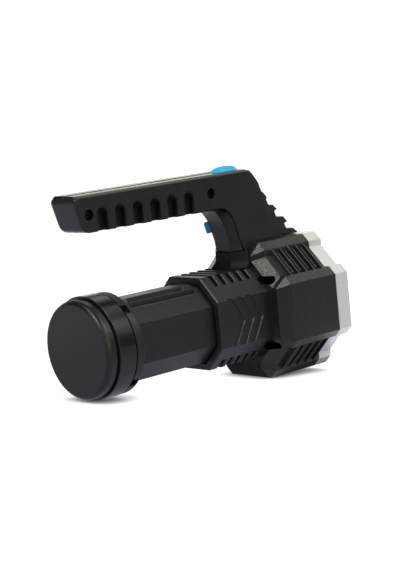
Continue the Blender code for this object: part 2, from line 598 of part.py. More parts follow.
# ---- controls ------------------------------------------------------------------------------------
rows = [(10.2, 5.15, 76.2, 0.0), (10.2, 5.15, 82.9, 0.0), (9.9, 4.85, 83.4, 0.0),
        (8.9, 4.3, 83.6, 0.9), (8.5, 4.0, 84.5, 1.1), (7.6, 3.3, 85.3, 1.1), (5.8, 2.2, 85.7, 1.1)]
button = loft("main_button", [[(x, y, z) for x, y in ellipse(a, b, 32, BX + dx)]
                              for a, b, z, dx in rows], "blue")
shade(button, 35)
switch = box("main_switch", (BX - 5.1, -4.0, 65.0), (BX + 5.1, 4.0, 70.6), "board")
boolean(switch, loft("stem_tool", [[(x, y, 70.0) for x, y in ellipse(2.0, 2.0, 16, BX)],
                                   [(x, y, 74.6) for x, y in ellipse(2.0, 2.0, 16, BX)]], None),
        "UNION")

# side push button on the liner's left rear facet
a0, a1 = Vector((110.2, 6.25, 54.0)), Vector((112.4, 6.25, 47.1))
b0, b1 = Vector((114.1, 9.9, 55.6)), Vector((116.4, 9.9, 47.9))
fc = (a0 + a1 + b0 + b1) / 4
along = ((a1 - a0) + (b1 - b0)).normalized()
across = ((b0 - a0) + (b1 - a1)).normalized()
normal = along.cross(across).normalized()
if normal.x > 0:
    normal = -normal
across = normal.cross(along).normalized()


def facet_block(name, la, lc, n0, n1, mat, ch=0.0):
    pts = []
    for u, v in ((-la, -lc), (la, -lc), (la, lc), (-la, lc)):
        pts.append((u, v))
    ring_ = []
    levels = [(n0, 0.0), (n1 - ch, 0.0)] + ([(n1, ch)] if ch else [])
    for n_, inset in levels:
        ring_.append([tuple(fc + along * (u - math.copysign(inset, u))
                            + across * (v - math.copysign(inset, v)) + normal * n_)
                      for u, v in pts])
    return loft(name, ring_, mat)


boolean(liner, facet_block("pocket_tool", 3.5, 2.1, -2.55, 3.0, None))
boolean(bpy.data.objects["handle_left"], facet_block("pocket_tool", 3.55, 2.15, -2.55, 1.2, None))
shade(bpy.data.objects["handle_left"], 25)
side_button = facet_block("side_button", 3.25, 1.85, -1.4, 3.1, "blue", ch=0.6)

# ---- place everything under the tilted empty --------------------------------------------------------
CAP_BODY = {"tail_cap", "tail_contact_plate", "tail_contact_spring"}
for ob in list(bpy.data.objects):
    if ob.type == "MESH":
        ob.parent = ROOT


def set_origin(ob, point):
    """Move the object's origin to a point on its joint axis (local metres)."""
    p = Vector(point) * MM
    ob.data.transform(Matrix.Translation(-p))
    ob.location = p


set_origin(button, (BX, 0.0, 76.2))
set_origin(side_button, tuple(fc))
for nm in CAP_BODY:
    set_origin(bpy.data.objects[nm], (0.0, 0.0, 0.0))

ROOT.rotation_euler = (0.0, -PITCH, 0.0)
bpy.context.view_layer.update()
lows, xs = [], []
for ob in bpy.data.objects:
    if ob.type == "MESH":
        for v in ob.data.vertices:
            w = ob.matrix_world @ v.co
            lows.append(w.z)
            xs.append(w.x)
ROOT.location = (-(min(xs) + max(xs)) / 2, 0.0, -min(lows))
bpy.context.view_layer.update()
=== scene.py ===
import json
import math

import bmesh
import bpy
from mathutils import Matrix, Vector


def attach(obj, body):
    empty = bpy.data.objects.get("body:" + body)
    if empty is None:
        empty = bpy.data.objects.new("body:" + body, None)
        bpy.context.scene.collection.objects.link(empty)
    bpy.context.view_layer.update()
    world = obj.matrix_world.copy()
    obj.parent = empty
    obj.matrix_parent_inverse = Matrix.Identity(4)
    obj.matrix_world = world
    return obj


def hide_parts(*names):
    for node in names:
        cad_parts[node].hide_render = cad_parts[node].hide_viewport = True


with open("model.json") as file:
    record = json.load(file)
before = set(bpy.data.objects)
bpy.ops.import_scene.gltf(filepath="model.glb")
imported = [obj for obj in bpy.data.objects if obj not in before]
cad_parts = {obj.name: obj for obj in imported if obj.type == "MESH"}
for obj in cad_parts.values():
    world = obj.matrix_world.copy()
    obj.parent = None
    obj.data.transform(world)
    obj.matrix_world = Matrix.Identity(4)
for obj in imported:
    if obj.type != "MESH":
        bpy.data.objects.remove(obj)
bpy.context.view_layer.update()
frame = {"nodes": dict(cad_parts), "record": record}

MM = 0.001
TAIL = {m["name"]: m for m in frame["record"]["mounts"]}["tail_face"]
AX = -Vector(TAIL["axis"])
REST = Matrix.Translation(Vector(TAIL["pos_m"])) @ Matrix.Rotation(-math.atan2(AX.z, AX.x), 4, "Y")
SCENE = bpy.context.scene


# ---------------------------------------------------------------- mesh helpers
def new_object(name, verts, faces):
    me = bpy.data.meshes.new(name)
    me.from_pydata([Vector(v) * MM for v in verts], [], faces)
    bm = bmesh.new()
    bm.from_mesh(me)
    bmesh.ops.remove_doubles(bm, verts=bm.verts, dist=1e-6)
    bmesh.ops.dissolve_degenerate(bm, edges=bm.edges, dist=1e-7)
    bmesh.ops.recalc_face_normals(bm, faces=bm.faces)
    bm.to_mesh(me)
    bm.free()
    ob = bpy.data.objects.new(name, me)
    SCENE.collection.objects.link(ob)
    return ob


def loft(name, rings, cap=True):
    n = len(rings[0])
    verts, faces = [], []
    for ring in rings:
        verts.extend(ring)
    for k in range(len(rings) - 1):
        a, b = k * n, (k + 1) * n
        for i in range(n):
            j = (i + 1) % n
            same_i = (Vector(rings[k][i]) - Vector(rings[k + 1][i])).length < 1e-5
            same_j = (Vector(rings[k][j]) - Vector(rings[k + 1][j])).length < 1e-5
            if same_i and same_j:
                continue
            if same_i:
                faces.append((a + i, a + j, b + j))
            elif same_j:
                faces.append((a + i, a + j, b + i))
            else:
                faces.append((a + i, a + j, b + j, b + i))
    if cap:
        faces.append(tuple(range(n)))
        last = (len(rings) - 1) * n
        faces.append(tuple(last + i for i in range(n)))
    return new_object(name, verts, faces)


def yz_ring(pts, x):
    return [(x, y, z) for y, z in pts]


def prism_x(name, pts, x0, x1):
    return loft(name, [yz_ring(pts, x0), yz_ring(pts, x1)])


def prism_y(name, pts, y0, y1):
    return loft(name, [[(x, y0, z) for x, z in pts], [(x, y1, z) for x, z in pts]])


def box(name, lo, hi):
    pts = [(lo[1], lo[2]), (hi[1], lo[2]), (hi[1], hi[2]), (lo[1], hi[2])]
    return prism_x(name, pts, lo[0], hi[0])


def revolve(name, profile, seg, centre=(0.0, 0.0)):
    cy, cz = centre
    verts, faces, index = [], [], []
    for x, r in profile:
        if r < 1e-6:
            index.append([len(verts)] * seg)
            verts.append((x, cy, cz))
        else:
            index.append(list(range(len(verts), len(verts) + seg)))
            for i in range(seg):
                t = 2 * math.pi * i / seg
                verts.append((x, cy + r * math.cos(t), cz + r * math.sin(t)))
    n = len(profile)
    for k in range(n):
        m = (k + 1) % n
        if profile[k][1] < 1e-6 and profile[m][1] < 1e-6:
            continue
        for i in range(seg):
            j = (i + 1) % seg
            q = [index[k][i], index[k][j], index[m][j], index[m][i]]
            q = [v for p, v in enumerate(q) if v != q[p - 1]]
            if len(q) >= 3:
                faces.append(tuple(q))
    return new_object(name, verts, faces)


def fillet(pts, radii, n=4, closed=True):
    """2D outline with its corners turned into arcs of n steps."""
    out = []
    m = len(pts)
    for i in range(m):
        r = radii[i] if isinstance(radii, (list, tuple)) else radii
        p = Vector(pts[i])
        if (not closed and i in (0, m - 1)) or r <= 0:
            out.append(tuple(p))
            continue
        a, b = Vector(pts[i - 1]) - p, Vector(pts[(i + 1) % m]) - p
        la, lb = a.length, b.length
        a.normalize()
        b.normalize()
        ang = a.angle(b)
        if ang > math.radians(178):
            out.append(tuple(p))
            continue
        d = min(r / math.tan(ang / 2), la * 0.49, lb * 0.49)
        rr = d * math.tan(ang / 2)
        c = p + (a + b).normalized() * (rr / math.sin(ang / 2))
        v0, v1 = p + a * d - c, p + b * d - c
        t0 = math.atan2(v0.y, v0.x)
        t1 = math.atan2(v1.y, v1.x)
        dt = (t1 - t0 + math.pi) % (2 * math.pi) - math.pi
        for k in range(n + 1):
            t = t0 + dt * k / n
            out.append((c.x + rr * math.cos(t), c.y + rr * math.sin(t)))
    return out


def spline(pts, n):
    """Catmull-Rom curve through pts, n steps to a span; any dimension."""
    out = []
    m = len(pts)
    for i in range(m - 1):
        p0, p1 = Vector(pts[max(i - 1, 0)]), Vector(pts[i])
        p2, p3 = Vector(pts[i + 1]), Vector(pts[min(i + 2, m - 1)])
        for k in range(n):
            t = k / n
            out.append(tuple(0.5 * ((2 * p1) + (p2 - p0) * t + (2 * p0 - 5 * p1 + 4 * p2 - p3) * t * t
                                    + (3 * p1 - p0 - 3 * p2 + p3) * t ** 3)))
    out.append(tuple(pts[-1]))
    return out


def tidy(ob, dist=2e-6):
    bm = bmesh.new()
    bm.from_mesh(ob.data)
    bmesh.ops.remove_doubles(bm, verts=bm.verts, dist=dist)
    bmesh.ops.dissolve_degenerate(bm, edges=bm.edges, dist=dist)
    bmesh.ops.recalc_face_normals(bm, faces=bm.faces)
    bm.to_mesh(ob.data)
    bm.free()


def baked(ob):
    """Apply every modifier."""
    bpy.context.view_layer.update()
    dg = bpy.context.evaluated_depsgraph_get()
    me = bpy.data.meshes.new_from_object(ob.evaluated_get(dg))
    old = ob.data
    ob.modifiers.clear()
    ob.data = me
    me.name = ob.name
    bpy.data.meshes.remove(old)
    return ob


def boolean(ob, cutter, op="DIFFERENCE"):
    m = ob.modifiers.new("cut", "BOOLEAN")
    m.operation = op
    m.solver = "EXACT"
    m.object = cutter
    baked(ob)
    cut = cutter.data
    bpy.data.objects.remove(cutter, do_unlink=True)
    bpy.data.meshes.remove(cut)
    tidy(ob)
    return ob


def soften(ob, width=0.3, seg=2, angle=30.0, dissolve=0.4, weighted=True, sharp=60.0):
    """Round the sharp edges and keep the flats flat."""
    me = ob.data
    if dissolve:
        bm = bmesh.new()
        bm.from_mesh(me)
        bmesh.ops.dissolve_limit(bm, angle_limit=math.radians(dissolve), verts=bm.verts,
                                 edges=bm.edges)
        bm.to_mesh(me)
        bm.free()
    me.shade_smooth()
    if width:
        b = ob.modifiers.new("edge", "BEVEL")
        b.width = width * MM
        b.segments = seg
        b.limit_method = "ANGLE"
        b.angle_limit = math.radians(angle)
        b.use_clamp_overlap = False
        b.miter_outer = "MITER_ARC" if seg > 2 else "MITER_SHARP"
        baked(ob)
    me = ob.data
    me.shade_smooth()
    me.set_sharp_from_angle(angle=math.radians(sharp))
    if weighted:
        w = ob.modifiers.new("normals", "WEIGHTED_NORMAL")
        w.mode = "FACE_AREA"
        w.keep_sharp = True
        baked(ob)
    return ob


def place(ob, body, nodes, mat, origin=None):
    """Hang a finished piece on its CAD body in place of the plain nodes."""
    if origin is not None:
        p = Vector(origin) * MM
        ob.data.transform(Matrix.Translation(-p))
        ob.matrix_world = REST @ Matrix.Translation(p)
    else:
        ob.matrix_world = REST
    ob.data.materials.clear()
    ob.data.materials.append(mat)
    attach(ob, body)
    if nodes:
        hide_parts(*nodes)
    return ob


# ------------------------------------------------------------------- materials
class Nodes:
    def __init__(self, name):
        self.mat = bpy.data.materials.new(name)
        self.mat.use_nodes = True
        self.t = self.mat.node_tree
        self.b = self.t.nodes["Principled BSDF"]
        self.out = self.t.nodes["Material Output"]

    def add(self, kind, **vals):
        n = self.t.nodes.new(kind)
        for k, v in vals.items():
            if k in n.inputs:
                n.inputs[k].default_value = v
            else:
                setattr(n, k, v)
        return n

    def link(self, a, b):
        self.t.links.new(a, b)

    def coords(self):
        return self.add("ShaderNodeTexCoord").outputs["Object"]

    def noise(self, co, scale, detail=2.0, rough=0.5, dist=0.0):
        n = self.add("ShaderNodeTexNoise", Scale=scale, Detail=detail, Roughness=rough, Distortion=dist)
        self.link(co, n.inputs["Vector"])
        return n.outputs["Fac"]

    def remap(self, fac, a, b, c, d):
        n = self.add("ShaderNodeMapRange")
        for i, v in zip(("From Min", "From Max", "To Min", "To Max"), (a, b, c, d)):
            n.inputs[i].default_value = v
        self.link(fac, n.inputs["Value"])
        return n.outputs["Result"]

    def ramp(self, fac, stops):
        n = self.add("ShaderNodeValToRGB")
        e = n.color_ramp.elements
        while len(e) < len(stops):
            e.new(0.5)
        for el, (p, c) in zip(e, stops):
            el.position = p
            el.color = (*c, 1.0)
        self.link(fac, n.inputs["Fac"])
        return n.outputs["Color"]

    def mix(self, fac, a, b, blend="MIX"):
        n = self.add("ShaderNodeMix", data_type="RGBA", blend_type=blend)
        for sock, v in ((n.inputs[0], fac), (n.inputs[6], a), (n.inputs[7], b)):
            if isinstance(v, (int, float)):
                sock.default_value = v
            elif isinstance(v, tuple):
                sock.default_value = (*v, 1.0)
            else:
                self.link(v, sock)
        return n.outputs[2]

    def bump(self, height, strength, dist, prev=None):
        n = self.add("ShaderNodeBump", Strength=strength, Distance=dist)
        self.link(height, n.inputs["Height"])
        if prev is not None:
            self.link(prev, n.inputs["Normal"])
        return n.outputs["Normal"]


def tone(c, k):
    return tuple(max(0.0, v * k) for v in c)


def moulded(name, base, rough=0.42, grain=0.25, grain_mm=0.35, vary=0.10, wear=0.35,
            spec=0.5, rough_var=0.06, coarse_mm=0.9, polish=None):
    """Moulded plastic with a spark-eroded grain, mottled colour, rubbed edges.

    polish = (axis, from, to, roughness): in millimetres along one axis, where it turns glossier.
    """
    g = Nodes(name)
    co = g.coords()
    slow = g.noise(co, 45.0, 3.0, 0.55)
    mid = g.noise(co, 420.0, 3.0, 0.6)
    col = g.ramp(slow, [(0.3, tone(base, 1 - vary)), (0.7, tone(base, 1 + vary))])
    speck = g.remap(mid, 0.35, 0.7, 1 - vary, 1 + vary * 1.2)
    v = g.add("ShaderNodeMix", data_type="RGBA", blend_type="MULTIPLY")
    v.inputs[0].default_value = 1.0
    g.link(col, v.inputs[6])
    g.link(speck, v.inputs[7])
    col = v.outputs[2]
    if wear:
        geo = g.add("ShaderNodeNewGeometry")
        edge = g.remap(geo.outputs["Pointiness"], 0.52, 0.62, 0.0, wear)
        chip = g.noise(co, 260.0, 4.0, 0.7)
        m = g.add("ShaderNodeMath", operation="MULTIPLY")
        g.link(edge, m.inputs[0])
        g.link(g.remap(chip, 0.4, 0.62, 0.25, 1.0), m.inputs[1])
        col = g.mix(m.outputs[0], col, tone(base, 2.6))
    g.link(col, g.b.inputs["Base Color"])
    smudge = g.noise(co, 28.0, 4.0, 0.6)
    gloss = g.remap(smudge, 0.3, 0.7, rough - rough_var, rough + rough_var)
    if polish:
        sep = g.add("ShaderNodeSeparateXYZ")
        g.link(co, sep.inputs[0])
        rubbed = g.remap(sep.outputs[polish[0]], polish[1] * MM, polish[2] * MM, 0.0, 1.0)
        low = g.remap(smudge, 0.3, 0.7, polish[3] - 0.02, polish[3] + 0.02)
        bl = g.add("ShaderNodeMix", data_type="FLOAT")
        g.link(rubbed, bl.inputs[0])
        g.link(gloss, bl.inputs[2])
        g.link(low, bl.inputs[3])
        gloss = bl.outputs[0]
    g.link(gloss, g.b.inputs["Roughness"])
    g.b.inputs["Specular IOR Level"].default_value = spec
    fine = g.noise(co, 1000.0 / grain_mm, 2.0, 0.55)
    coarse = g.noise(co, 1000.0 / coarse_mm, 1.0, 0.5)
    nrm = g.bump(coarse, min(grain * 2.0, 1.0), 0.00022)
    nrm = g.bump(fine, grain, 0.00006, nrm)
    g.link(nrm, g.b.inputs["Normal"])
    return g.mat


def painted(name, base, rough=0.35, flake=0.12):
    """Silver-grey paint: fine pearl flake under a satin clear coat."""
    g = Nodes(name)
    co = g.coords()
    fl = g.add("ShaderNodeTexVoronoi", Scale=3200.0)
    g.link(co, fl.inputs["Vector"])
    sep = g.add("ShaderNodeSeparateColor")
    g.link(fl.outputs["Color"], sep.inputs["Color"])
    slow = g.noise(co, 30.0, 3.0, 0.5)
    col = g.ramp(slow, [(0.3, tone(base, 0.965)), (0.7, tone(base, 1.03))])
    flk = g.remap(sep.outputs["Red"], 0.0, 1.0, 1 - flake, 1 + flake)
    v = g.add("ShaderNodeMix", data_type="RGBA", blend_type="MULTIPLY")
    v.inputs[0].default_value = 1.0
    g.link(col, v.inputs[6])
    g.link(flk, v.inputs[7])
    g.link(v.outputs[2], g.b.inputs["Base Color"])
    g.link(g.remap(g.noise(co, 90.0, 3.0, 0.6), 0.3, 0.7, rough - 0.05, rough + 0.05),
           g.b.inputs["Roughness"])
    g.b.inputs["Coat Weight"].default_value = 0.25
    g.b.inputs["Coat Roughness"].default_value = 0.25
    nrm = g.bump(g.noise(co, 1400.0, 2.0, 0.5), 0.12, 0.00005)
    g.link(nrm, g.b.inputs["Normal"])
    return g.mat


def simple(name, base, rough, metal=0.0, scale=600.0, bump=0.1, vary=0.08, coat=0.0,
           aniso=None, trans=0.0, ior=1.5, emit=None):
    """Smaller pieces: mottled colour, uneven gloss and a fine surface."""
    g = Nodes(name)
    co = g.coords()
    src = co
    if aniso:
        mp = g.add("ShaderNodeMapping")
        mp.inputs["Scale"].default_value = aniso
        g.link(co, mp.inputs["Vector"])
        src = mp.outputs["Vector"]
    n1 = g.noise(src, scale, 3.0, 0.6)
    col = g.ramp(n1, [(0.3, tone(base, 1 - vary)), (0.7, tone(base, 1 + vary))])
    g.link(col, g.b.inputs["Base Color"])
    g.link(g.remap(g.noise(src, scale * 0.4, 3.0, 0.6), 0.3, 0.7, max(rough - 0.05, 0.01), rough + 0.06),
           g.b.inputs["Roughness"])
    g.b.inputs["Metallic"].default_value = metal
    g.b.inputs["Coat Weight"].default_value = coat
    g.b.inputs["IOR"].default_value = ior
    if trans:
        g.b.inputs["Transmission Weight"].default_value = trans
    if bump:
        g.link(g.bump(n1, bump, 0.00005), g.b.inputs["Normal"])
    return g.mat


M_BODY = moulded("black_moulding", (0.0105, 0.0105, 0.0100), rough=0.40, grain=0.30)
M_HEAD = moulded("head_moulding", (0.0105, 0.0105, 0.0102), rough=0.34, grain=0.5, coarse_mm=0.6,
                 polish=(0, 127.5, 127.1, 0.26))
M_TAIL = moulded("tail_moulding", (0.0105, 0.0102, 0.0108), rough=0.33, grain=0.07, grain_mm=0.3,
                polish=(0, 6.6, 7.0, 0.23))
M_GRIP = moulded("grip_moulding", (0.0105, 0.0105, 0.0100), rough=0.34, grain=0.045, grain_mm=0.3,
                 polish=(2, 82.2, 82.6, 0.245))
M_LINER = moulded("liner_moulding", (0.0110, 0.0105, 0.0118), rough=0.42, grain=0.10)
M_SPINE = moulded("spine_moulding", (0.0115, 0.0115, 0.0105), rough=0.42, grain=0.15)
# Plinth: the black moulding with a darker base colour, painted shade for the grip's shadow on it, and a
# lower specular level.
M_PLINTH_PAINTED_SHADE = moulded("plinth_moulding_painted_shade", (0.0085, 0.0085, 0.0082), rough=0.5, grain=0.15, spec=0.2)
M_SILVER = painted("silver_paint", (0.70, 0.70, 0.71))
M_BLUE = moulded("blue_button", (0.010, 0.45, 0.86), rough=0.34, grain=0.03, vary=0.02, wear=0.0)

# ------------------------------------------------------- dimensions, millimetres
TAIL_R, BAND_R, G0, G1, TAIL_LEN = 27.2, 28.65, 6.4, 7.2, 18.3
FLANGE, FLANGE_R = (19.3, 24.0), 28.35
TUBE_HALF, TUBE_FLAT, TUBE_END = 21.8, 11.0, 84.4
COLLAR, COLLAR_HALF, COLLAR_FLAT = (81.7, 121.6), 26.5, 13.2
SLOT_X, SLOT_W, SLOT_DEPTH = (89.9, 96.2, 102.5, 108.8, 115.1), 3.7, 3.8
CHEV_W = 3.5
HEAD_X = (121.5, 127.2, 164.2)
LOBE_R, LOBE_A, LOBE_W, LOBE_C, LOBE_Q = 40.0, 16.55, 20.9, 35.67, 31.88
FIN_X, FIN_T = (132.3, 138.7, 145.2, 151.7, 158.2), 1.1
BEZEL_X = (164.5, 175.4)
GRIP_TOP, GRIP_BOTTOM = 81.4, 62.4
DECK, DECK_Z = 5.0, 23.2
NOTCH_X0, NOTCH_PITCH, NOTCH_W, NOTCH_N = 16.2, 12.44, 6.9, 6
BX = 120.2
SCREWS = [(-21.9, 19.0), (-21.9, -19.0), (21.9, 19.0), (21.9, -19.0)]
CUPS = [(0.0, 0.0, 8.6), (0.0, 20.0, 9.2), (0.0, -20.0, 9.2), (20.0, 0.0, 9.2), (-20.0, 0.0, 9.2)]


def octagon(half, flat):
    return [(-half, -flat), (-half, flat), (-flat, half), (flat, half),
            (half, flat), (half, -flat), (flat, -half), (-flat, -half)]


def lobed(r, a, w, c, q, fin=False):
    d = (c - w) * 0.3
    one = [(c - d, -w - d) if fin else (q, -w), (c, -w), (r, -a), (r, a), (c, w),
           (c - d, w + d) if fin else (q, w)]
    pts = []
    for k in range(4):
        ca, sa = (1, 0, -1, 0)[k], (0, 1, 0, -1)[k]
        for u, v in one:
            pts.append((u * ca - v * sa, u * sa + v * ca))
    return pts


def ellipse(a, b, n, cx=0.0, cy=0.0):
    return [(cx + a * math.cos(2 * math.pi * i / n), cy + b * math.sin(2 * math.pi * i / n))
            for i in range(n)]


def stadium(cx, cz, half, r, n=16):
    pts = []
    for i in range(n + 1):
        t = -math.pi / 2 + math.pi * i / n
        pts.append((cx + half + r * math.cos(t), cz + r * math.sin(t)))
    for i in range(n + 1):
        t = math.pi / 2 + math.pi * i / n
        pts.append((cx - half + r * math.cos(t), cz + r * math.sin(t)))
    return pts


# ---------------------------------------------------------------------- tail cap
def make_tail():
    outer = [(0.0, 0.0), (0.0, 25.2), (0.9, 26.45), (2.5, TAIL_R), (G0, TAIL_R), (G0, TAIL_R - 1.3),
             (G1, TAIL_R - 1.3), (G1, BAND_R), (TAIL_LEN, BAND_R), (TAIL_LEN, 20.5), (4.4, 20.5),
             (4.4, 0.0)]
    radii = [0, 0.8, 1.6, 1.8, 0.35, 0.15, 0.15, 0.4, 0.35, 0.3, 0.3, 0]
    prof = fillet(outer, radii, 5)
    prof = [(x, max(r, 0.0)) for x, r in prof]
    cap = revolve("cap_shell", prof, 192)
    soften(cap, width=0, dissolve=0, sharp=70)
    place(cap, "cap", ["tail_cap"], M_TAIL)


# ------------------------------------------------------------------ battery tube
def tube_top(y):
    """Plain upper outline: facet, shoulder, flat deck."""
    y = abs(y)
    if y <= DECK:
        return DECK_Z
    if y <= TUBE_FLAT:
        return DECK_Z + (TUBE_HALF - DECK_Z) * (y - DECK) / (TUBE_FLAT - DECK)
    return TUBE_HALF + TUBE_FLAT - y


RAIL = [(-14.6, 18.2)] + fillet([(-14.6, 18.2), (-14.25, 18.95), (-13.45, 19.35), (-13.1, 18.2),
                                 (-12.5, 18.2), (-12.2, 21.5), (-11.35, 21.5), (-10.9, 20.3),
                                 (-6.2, 20.3), (-5.55, 23.0), (-DECK, DECK_Z), (-4.5, DECK_Z)],
                                [0, 0.3, 0.25, 0.2, 0.2, 0.25, 0.25, 0.3, 0.4, 0.3, 0.4, 0],
                                3, closed=False)[1:-1]


def groove_end(pts, x, slant, dx=0.0):
    """Ring whose upper points lean along x, where the grooves start or stop."""
    return [(x + dx + (slant * max(0.0, 11.6 - abs(y)) if z > 15.0 else 0.0), y, z)
            for y, z in pts]


def make_tube():
    H, F = TUBE_HALF, TUBE_FLAT
    rail_full = RAIL + [(-y, z) for y, z in reversed(RAIL)]
    flat = [(y, tube_top(y)) for y, z in rail_full]
    base_l = [(-F, -H), (-H, -F), (-H, F)]
    base_r = [(H, F), (H, -F), (F, -H)]
    ring_rail, ring_plain = base_l + rail_full + base_r, base_l + flat + base_r
    tube = loft("tube_body", [yz_ring(ring_plain, 24.0), groove_end(ring_plain, 29.8, 0.7),
                              groove_end(ring_rail, 29.8, 0.7, 0.6),
                              groove_end(ring_rail, 76.0, -0.45),
                              groove_end(ring_plain, 76.0, -0.45, 2.2),
                              yz_ring(ring_plain, TUBE_END)])
    prof = fillet([(9.0, 0), (9.0, 20.1), (FLANGE[0], 20.1), (FLANGE[0], FLANGE_R),
                   (FLANGE[1], FLANGE_R), (25.6, 25.6), (28.0, 22.5), (30.0, 19.0), (30.0, 0)],
                  [0, 0.5, 0.2, 0.4, 0.5, 1.5, 1.5, 0, 0], 4)
    boolean(tube, revolve("t", prof, 144), "UNION")
    boolean(tube, revolve("t", [(78.0, 0), (78.0, 20.1), (92.4, 20.1), (92.4, 0)], 96), "UNION")
    for ang in (46.0, -45.0, 134.0, -135.0):
        t = math.radians(ang)
        plan = fillet([(18.5, -2.7), (23.1, -2.7), (23.1, 2.7), (18.5, 2.7)], [0, 1.2, 1.2, 0], 5)
        notch = loft("t", [[(x, y, 24.6) for x, y in plan], [(x, y, 31.0) for x, y in plan]])
        notch.data.transform(Matrix.Rotation(math.atan2(-math.cos(t), math.sin(t)) * -1.0, 4, "X"))
        boolean(tube, notch)
    boolean(tube, revolve("t", [(5.0, 0), (5.0, 18.6), (95.0, 18.6), (95.0, 0)], 96))
    soften(tube, width=0.25, seg=2, angle=32)
    place(tube, "lamp", ["battery_tube"], M_BODY)


# -------------------------------------------------------------------- ribbed collar
def make_collar():
    out = octagon(COLLAR_HALF, COLLAR_FLAT)
    inn = octagon(COLLAR_HALF - 0.7, COLLAR_FLAT - 0.3)
    collar = loft("collar_body", [yz_ring(inn, COLLAR[0]), yz_ring(out, COLLAR[0] + 0.7),
                                  yz_ring(out, COLLAR[1])])

    def slot(x, d, sign):
        s = COLLAR_HALF + COLLAR_FLAT
        half = s - d * 1.4142 - (COLLAR_HALF - d)
        pts = [(-22.8, 25.3), (-18.6, 21.1), (-18.6 + d * 0.7071, 21.1 - d * 0.7071),
               (-half, COLLAR_HALF - d), (half, COLLAR_HALF - d),
               (18.6 - d * 0.7071, 21.1 - d * 0.7071), (18.6, 21.1), (22.8, 25.3), (12.0, 32.0),
               (-12.0, 32.0)]
        return [(x, y, z * sign) for y, z in pts]

    for sx in SLOT_X:
        for sign in (1, -1):
            xa, xb = sx - SLOT_W / 2, sx + SLOT_W / 2 - 0.25
            boolean(collar, loft("t", [slot(xa, SLOT_DEPTH, sign), slot(xb, SLOT_DEPTH, sign),
                                       slot(xb + 0.02, 0.5, sign), slot(xb + 0.5, 0.03, sign)]))
    for side in (-1, 1):
        for k in range(3):
            ax = 101.2 + 7.22 * k
            pts = [(ax - 8.95, 14.1), (ax, 0.0), (ax - 7.75, -13.6), (ax - 7.75 - CHEV_W, -13.6),
                   (ax - CHEV_W, 0.0), (ax - 8.95 - CHEV_W, 14.1)]
            wide = [(x + 1.0 if i < 3 else x, z) for i, (x, z) in enumerate(pts)]
            boolean(collar, loft("t", [[(x, side * (COLLAR_HALF - 0.85), z) for x, z in pts],
                                       [(x, side * (COLLAR_HALF + 1.0), z) for x, z in wide]]))
    boolean(collar, prism_x("t", octagon(22.9, 11.5), 80.0, 84.6))
    boolean(collar, revolve("t", [(80.0, 0), (80.0, 20.4), (92.9, 20.4), (92.9, 17.0), (125.0, 17.0),
                                  (125.0, 0)], 96))
    for sy, sz in SCREWS:
        side = -1 if sy < 0 else 1
        boolean(collar, prism_x("t", stadium(side * 24.35, sz, 3.15, 2.3), 120.0, 130.0))
    soften(collar, width=0.16, seg=2, angle=28)
    place(collar, "lamp", ["ribbed_collar"], M_BODY)


# --------------------------------------------------------------------- head housing
def make_head():
    rear = lobed(33.14, 14.3, 14.6, 32.84, 29.9)
    full = lobed(LOBE_R, LOBE_A, LOBE_W, LOBE_C, LOBE_Q)
    fins = lobed(LOBE_R, LOBE_A, LOBE_W, LOBE_C, LOBE_Q, fin=True)
    rings = [yz_ring(rear, HEAD_X[0]), yz_ring(full, HEAD_X[1])]
    for fx in FIN_X:
        rings += [yz_ring(full, fx), yz_ring(fins, fx), yz_ring(fins, fx + FIN_T),
                  yz_ring(full, fx + FIN_T)]
    rings.append(yz_ring(full, HEAD_X[2]))
    head = loft("head_shell", rings)
    for k in range(4):
        for fx in FIN_X[:-1]:
            rib = prism_x("t", [(-8.3, 36.6), (8.3, 36.6), (8.3, 39.05), (-8.3, 39.05)],
                          fx + 3.55, fx + 5.0)
            rib.data.transform(Matrix.Rotation(math.radians(45 + 90 * k), 4, "X"))
            boolean(head, rib, "UNION")
    boolean(head, revolve("t", [(118.0, 0), (118.0, 17.0), (132.0, 17.0), (132.0, 33.5),
                                (170.0, 33.5), (170.0, 0)], 96))
    for sy, sz in SCREWS:
        side = -1 if sy < 0 else 1
        boolean(head, prism_x("t", stadium(side * 24.35, sz, 3.15, 2.3), 112.0, 130.0))
        boolean(head, revolve("t", [(129.0, 0), (129.0, 1.45), (134.0, 1.45), (134.0, 0)], 24,
                              centre=(sy, sz)))
    wire = revolve("t", [(0, 0), (0, 2.5), (12.0, 2.5), (12.0, 0)], 24)
    wire.data.transform(Matrix.Translation((0.1375, 0, 0.031)) @ Matrix.Rotation(-math.pi / 2, 4, "Y"))
    boolean(head, wire)
    soften(head, width=0.28, seg=2, angle=28)
    place(head, "lamp", ["head_housing"], M_HEAD)


# ---------------------------------------------------------------------- front bezel
def make_bezel():
    full = lobed(LOBE_R, LOBE_A, LOBE_W, LOBE_C, LOBE_Q)
    bez = loft("bezel_ring", [yz_ring(full, BEZEL_X[0]), yz_ring(full, BEZEL_X[1] - 1.0),
                              yz_ring(lobed(LOBE_R - 0.8, LOBE_A - 0.3, LOBE_W - 0.5, LOBE_C - 0.8,
                                            LOBE_Q - 0.8), BEZEL_X[1])])
    boolean(bez, revolve("t", [(158.0, 0), (158.0, 33.2), (168.0, 33.2), (168.0, 0)], 128), "UNION")
    boolean(bez, revolve("t", [(150.0, 0), (150.0, 31.5), (171.7, 31.5), (171.7, 29.6),
                               (172.6, 29.6), (176.5, 33.2), (176.5, 0)], 128))
    soften(bez, width=0.35, seg=3, angle=25)
    place(bez, "lamp", ["front_bezel"], M_SILVER)


# ------------------------------------------------------------------ cantilevered grip
def half_width(x):
    return 10.6 + 0.005 * x


